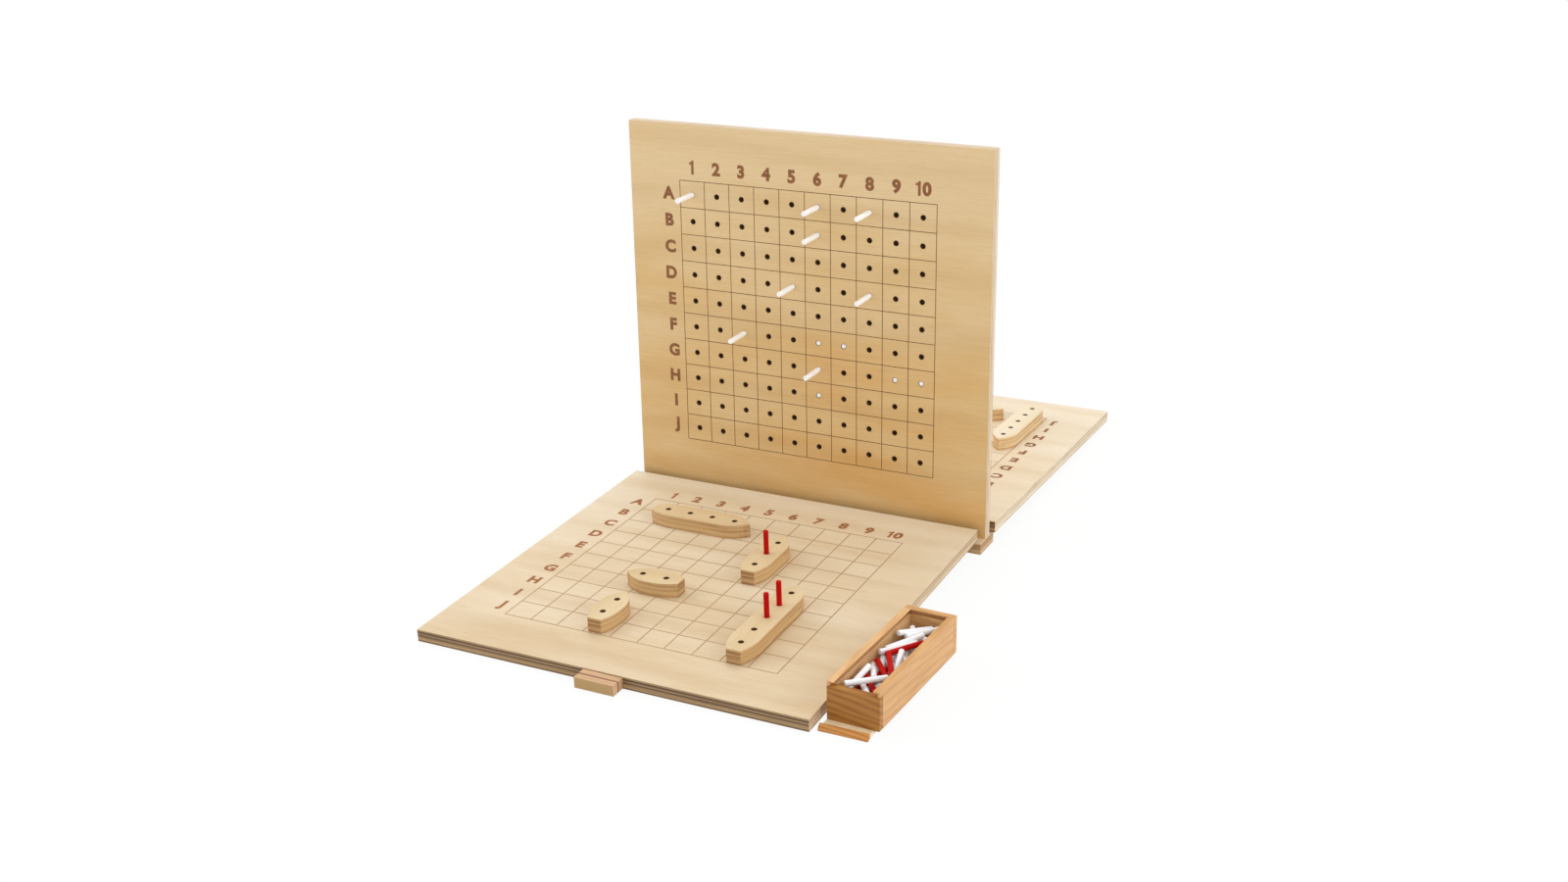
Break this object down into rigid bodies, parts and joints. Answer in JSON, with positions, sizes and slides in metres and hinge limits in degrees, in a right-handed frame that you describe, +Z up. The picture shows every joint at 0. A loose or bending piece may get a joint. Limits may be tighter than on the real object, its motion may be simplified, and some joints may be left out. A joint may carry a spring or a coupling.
{
  "type": "fleet guessing game set",
  "caption": "Wooden fleet guessing set: upright drilled target board on a rail between two sloping fleet boards, with plywood ships, painted pegs and a sliding-lid peg box.",
  "frame": {"origin": "centre of the base rail's underside, on the table, below the middle of the target board", "axes": "+Z up, +X to the right as the front player sees it, +Y from the front player to the rear player"},
  "size_m": [0.5775, 1.0734, 0.515],
  "materials": {
    "target_ply": "sanded birch plywood",
    "rail_ply": "sanded birch plywood",
    "front_board_ply": "sanded birch plywood",
    "rear_board_ply": "sanded birch plywood",
    "front_block_ply": "sanded birch plywood",
    "rear_block_ply": "sanded birch plywood",
    "front_ship_ply": "sanded birch plywood",
    "rear_ship_ply": "sanded birch plywood",
    "dowel_wood": "plain beech",
    "white_paint": "white satin paint on wood",
    "red_paint": "red satin paint on wood",
    "box_side_wood": "lacquered warm wood",
    "box_end_wood": "lacquered warm wood",
    "box_wood": "plain warm wood",
    "lid_pale_wood": "plain pale wood",
    "nosing_wood": "lacquered warm wood",
    "screw_steel": "zinc plated"
  },
  "bodies": {
    "stand": {"target_board": "target_ply", "base_rail": "rail_ply", "rail_screws": "screw_steel"},
    "front_board": {"front_fleet_board": "front_board_ply", "front_grip_block": "front_block_ply", "front_block_dowels": "dowel_wood"},
    "front_ship_five_body": {"front_ship_five": "front_ship_ply"},
    "front_ship_four_body": {"front_ship_four": "front_ship_ply"},
    "front_ship_three_body": {"front_ship_three": "front_ship_ply"},
    "front_ship_two_a_body": {"front_ship_two_a": "front_ship_ply"},
    "front_ship_two_b_body": {"front_ship_two_b": "front_ship_ply"},
    "rear_board": {"rear_fleet_board": "rear_board_ply", "rear_grip_block": "rear_block_ply", "rear_block_dowels": "dowel_wood"},
    "rear_ship_five_body": {"rear_ship_five": "rear_ship_ply"},
    "rear_ship_four_body": {"rear_ship_four": "rear_ship_ply"},
    "rear_ship_three_body": {"rear_ship_three": "rear_ship_ply"},
    "rear_ship_two_a_body": {"rear_ship_two_a": "rear_ship_ply"},
    "rear_ship_two_b_body": {"rear_ship_two_b": "rear_ship_ply"},
    "red_peg_three_2_body": {"red_peg_three_2": "red_paint"},
    "red_peg_five_3_body": {"red_peg_five_3": "red_paint"},
    "red_peg_five_4_body": {"red_peg_five_4": "red_paint"},
    "white_peg_front_a1_body": {"white_peg_front_a1": "white_paint"},
    "white_peg_front_a6_body": {"white_peg_front_a6": "white_paint"},
    "white_peg_front_a8_body": {"white_peg_front_a8": "white_paint"},
    "white_peg_front_b6_body": {"white_peg_front_b6": "white_paint"},
    "white_peg_front_d5_body": {"white_peg_front_d5": "white_paint"},
    "white_peg_front_d8_body": {"white_peg_front_d8": "white_paint"},
    "white_peg_front_f3_body": {"white_peg_front_f3": "white_paint"},
    "white_peg_front_g6_body": {"white_peg_front_g6": "white_paint"},
    "white_peg_rear_f6_body": {"white_peg_rear_f6": "white_paint"},
    "white_peg_rear_f7_body": {"white_peg_rear_f7": "white_paint"},
    "white_peg_rear_g9_body": {"white_peg_rear_g9": "white_paint"},
    "white_peg_rear_g10_body": {"white_peg_rear_g10": "white_paint"},
    "white_peg_rear_h6_body": {"white_peg_rear_h6": "white_paint"},
    "peg_box": {"box_left_side": "box_side_wood", "box_right_side": "box_side_wood", "box_front_end": "box_end_wood", "box_back_end": "box_end_wood", "box_bottom": "box_wood", "loose_white_pegs": "white_paint", "loose_red_pegs": "red_paint"},
    "box_lid": {"lid_panel": "lid_pale_wood", "lid_nosing": "nosing_wood"}
  },
  "joints": [
    {"name": "front_board_lift", "type": "slide", "parent": "stand", "child": "front_board", "axis": [0, 0, 1], "range_m": [0, 0.06]},
    {"name": "front_ship_five_lift", "type": "slide", "parent": "front_board", "child": "front_ship_five_body", "axis": [0, -0.0305, 0.9995], "range_m": [0, 0.04]},
    {"name": "front_ship_four_lift", "type": "slide", "parent": "front_board", "child": "front_ship_four_body", "axis": [0, -0.0305, 0.9995], "range_m": [0, 0.04]},
    {"name": "front_ship_three_lift", "type": "slide", "parent": "front_board", "child": "front_ship_three_body", "axis": [0, -0.0305, 0.9995], "range_m": [0, 0.04]},
    {"name": "front_ship_two_a_lift", "type": "slide", "parent": "front_board", "child": "front_ship_two_a_body", "axis": [0, -0.0305, 0.9995], "range_m": [0, 0.04]},
    {"name": "front_ship_two_b_lift", "type": "slide", "parent": "front_board", "child": "front_ship_two_b_body", "axis": [0, -0.0305, 0.9995], "range_m": [0, 0.04]},
    {"name": "rear_board_lift", "type": "slide", "parent": "stand", "child": "rear_board", "axis": [0, 0, 1], "range_m": [0, 0.06]},
    {"name": "rear_ship_five_lift", "type": "slide", "parent": "rear_board", "child": "rear_ship_five_body", "axis": [0, 0.0304, 0.9995], "range_m": [0, 0.04]},
    {"name": "rear_ship_four_lift", "type": "slide", "parent": "rear_board", "child": "rear_ship_four_body", "axis": [0, 0.0304, 0.9995], "range_m": [0, 0.04]},
    {"name": "rear_ship_three_lift", "type": "slide", "parent": "rear_board", "child": "rear_ship_three_body", "axis": [0, 0.0304, 0.9995], "range_m": [0, 0.04]},
    {"name": "rear_ship_two_a_lift", "type": "slide", "parent": "rear_board", "child": "rear_ship_two_a_body", "axis": [0, 0.0304, 0.9995], "range_m": [0, 0.04]},
    {"name": "rear_ship_two_b_lift", "type": "slide", "parent": "rear_board", "child": "rear_ship_two_b_body", "axis": [0, 0.0304, 0.9995], "range_m": [0, 0.04]},
    {"name": "red_peg_three_2_pull", "type": "slide", "parent": "front_ship_three_body", "child": "red_peg_three_2_body", "axis": [0, -0.0305, 0.9995], "range_m": [0, 0.03]},
    {"name": "red_peg_five_3_pull", "type": "slide", "parent": "front_ship_five_body", "child": "red_peg_five_3_body", "axis": [0, -0.0305, 0.9995], "range_m": [0, 0.03]},
    {"name": "red_peg_five_4_pull", "type": "slide", "parent": "front_ship_five_body", "child": "red_peg_five_4_body", "axis": [0, -0.0305, 0.9995], "range_m": [0, 0.03]},
    {"name": "white_peg_front_a1_pull", "type": "slide", "parent": "stand", "child": "white_peg_front_a1_body", "axis": [0, -1, 0], "range_m": [0, 0.03]},
    {"name": "white_peg_front_a6_pull", "type": "slide", "parent": "stand", "child": "white_peg_front_a6_body", "axis": [0, -1, 0], "range_m": [0, 0.03]},
    {"name": "white_peg_front_a8_pull", "type": "slide", "parent": "stand", "child": "white_peg_front_a8_body", "axis": [0, -1, 0], "range_m": [0, 0.03]},
    {"name": "white_peg_front_b6_pull", "type": "slide", "parent": "stand", "child": "white_peg_front_b6_body", "axis": [0, -1, 0], "range_m": [0, 0.03]},
    {"name": "white_peg_front_d5_pull", "type": "slide", "parent": "stand", "child": "white_peg_front_d5_body", "axis": [0, -1, 0], "range_m": [0, 0.03]},
    {"name": "white_peg_front_d8_pull", "type": "slide", "parent": "stand", "child": "white_peg_front_d8_body", "axis": [0, -1, 0], "range_m": [0, 0.03]},
    {"name": "white_peg_front_f3_pull", "type": "slide", "parent": "stand", "child": "white_peg_front_f3_body", "axis": [0, -1, 0], "range_m": [0, 0.03]},
    {"name": "white_peg_front_g6_pull", "type": "slide", "parent": "stand", "child": "white_peg_front_g6_body", "axis": [0, -1, 0], "range_m": [0, 0.03]},
    {"name": "white_peg_rear_f6_pull", "type": "slide", "parent": "stand", "child": "white_peg_rear_f6_body", "axis": [0, 1, 0], "range_m": [0, 0.03]},
    {"name": "white_peg_rear_f7_pull", "type": "slide", "parent": "stand", "child": "white_peg_rear_f7_body", "axis": [0, 1, 0], "range_m": [0, 0.03]},
    {"name": "white_peg_rear_g9_pull", "type": "slide", "parent": "stand", "child": "white_peg_rear_g9_body", "axis": [0, 1, 0], "range_m": [0, 0.03]},
    {"name": "white_peg_rear_g10_pull", "type": "slide", "parent": "stand", "child": "white_peg_rear_g10_body", "axis": [0, 1, 0], "range_m": [0, 0.03]},
    {"name": "white_peg_rear_h6_pull", "type": "slide", "parent": "stand", "child": "white_peg_rear_h6_body", "axis": [0, 1, 0], "range_m": [0, 0.03]},
    {"name": "box_lift", "type": "slide", "parent": "stand", "child": "peg_box", "axis": [0, 0, 1], "range_m": [0, 0.1]},
    {"name": "lid_pull", "type": "slide", "parent": "stand", "child": "box_lid", "axis": [0, -1, 0], "range_m": [0, 0.2]}
  ]
}
